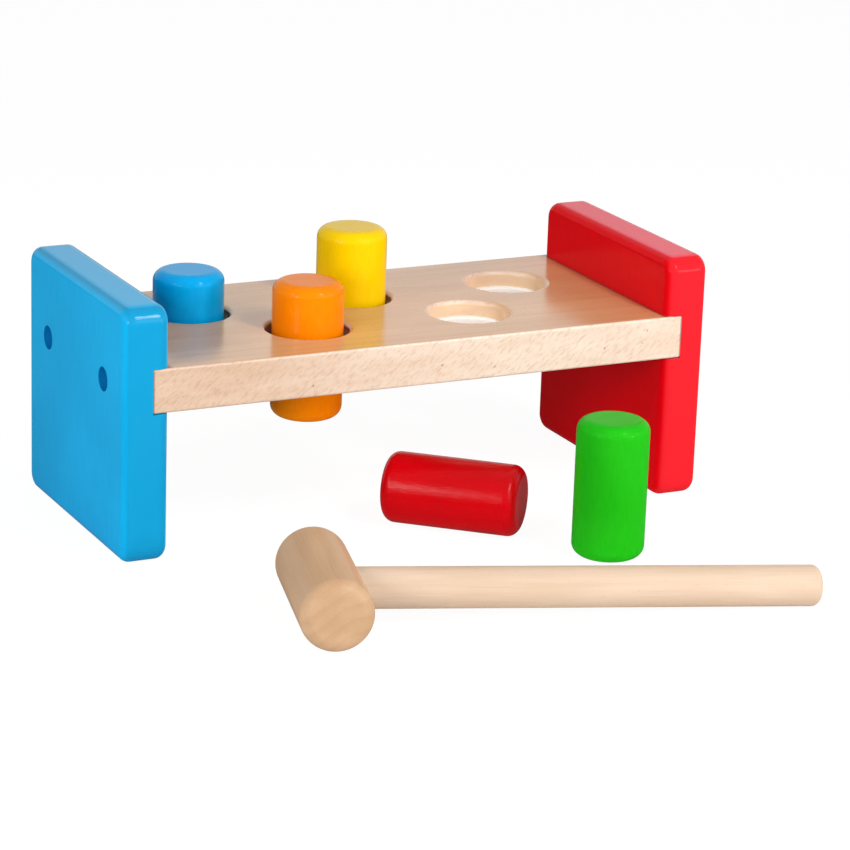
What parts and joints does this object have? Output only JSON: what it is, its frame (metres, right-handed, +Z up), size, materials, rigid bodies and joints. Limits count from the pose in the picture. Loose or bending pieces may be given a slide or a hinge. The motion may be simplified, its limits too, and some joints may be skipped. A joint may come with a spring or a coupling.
{
  "type": "peg pounding bench",
  "caption": "Toy pounding bench: round pegs are driven through staggered holes in a board held between two end plates, with a wooden mallet.",
  "frame": {"origin": "on the floor, under the middle of the box round the whole set: bench, loose pegs and mallet", "axes": "+X along the bench from the blue end plate to the red one, +Y from the front, where the mallet lies, to the back, +Z up"},
  "size_m": [0.274, 0.265, 0.116],
  "materials": {
    "blue_lacquer": "gloss lacquer",
    "red_lacquer": "gloss lacquer",
    "board_wood": "satin varnish",
    "ring_rubber": "matte",
    "screw_steel": "zinc plated",
    "blue_peg_lacquer": "gloss lacquer",
    "orange_peg_lacquer": "gloss lacquer",
    "yellow_peg_lacquer": "gloss lacquer",
    "red_peg_lacquer": "gloss lacquer",
    "green_peg_lacquer": "gloss lacquer",
    "mallet_head_wood": "satin varnish",
    "mallet_handle_wood": "satin varnish"
  },
  "bodies": {
    "bench": {"end_plate_left": "blue_lacquer", "end_plate_right": "red_lacquer", "pounding_board": "board_wood", "grip_ring_1": "ring_rubber", "grip_ring_2": "ring_rubber", "grip_ring_3": "ring_rubber", "grip_ring_4": "ring_rubber", "grip_ring_5": "ring_rubber", "screw_left_front": "screw_steel", "screw_left_back": "screw_steel", "screw_right_front": "screw_steel", "screw_right_back": "screw_steel"},
    "blue_peg": {"peg_blue": "blue_peg_lacquer"},
    "orange_peg": {"peg_orange": "orange_peg_lacquer"},
    "yellow_peg": {"peg_yellow": "yellow_peg_lacquer"},
    "red_peg": {"peg_red": "red_peg_lacquer"},
    "green_peg": {"peg_green": "green_peg_lacquer"},
    "mallet": {"mallet_head": "mallet_head_wood", "mallet_handle": "mallet_handle_wood"}
  },
  "joints": [
    {"name": "blue_peg_travel", "type": "slide", "parent": "bench", "child": "blue_peg", "axis": [0, 0, 1], "range_m": [-0.019, 0.042]},
    {"name": "orange_peg_travel", "type": "slide", "parent": "bench", "child": "orange_peg", "axis": [0, 0, 1], "range_m": [-0.021, 0.04]},
    {"name": "yellow_peg_travel", "type": "slide", "parent": "bench", "child": "yellow_peg", "axis": [0, 0, 1], "range_m": [-0.032, 0.029]},
    {"name": "red_peg_lift", "type": "slide", "parent": "bench", "child": "red_peg", "axis": [0, 0, 1], "range_m": [0, 0.03]},
    {"name": "green_peg_lift", "type": "slide", "parent": "bench", "child": "green_peg", "axis": [0, 0, 1], "range_m": [0, 0.06]},
    {"name": "mallet_lift", "type": "slide", "parent": "bench", "child": "mallet", "axis": [0, 0, 1], "range_m": [0, 0.06]}
  ]
}
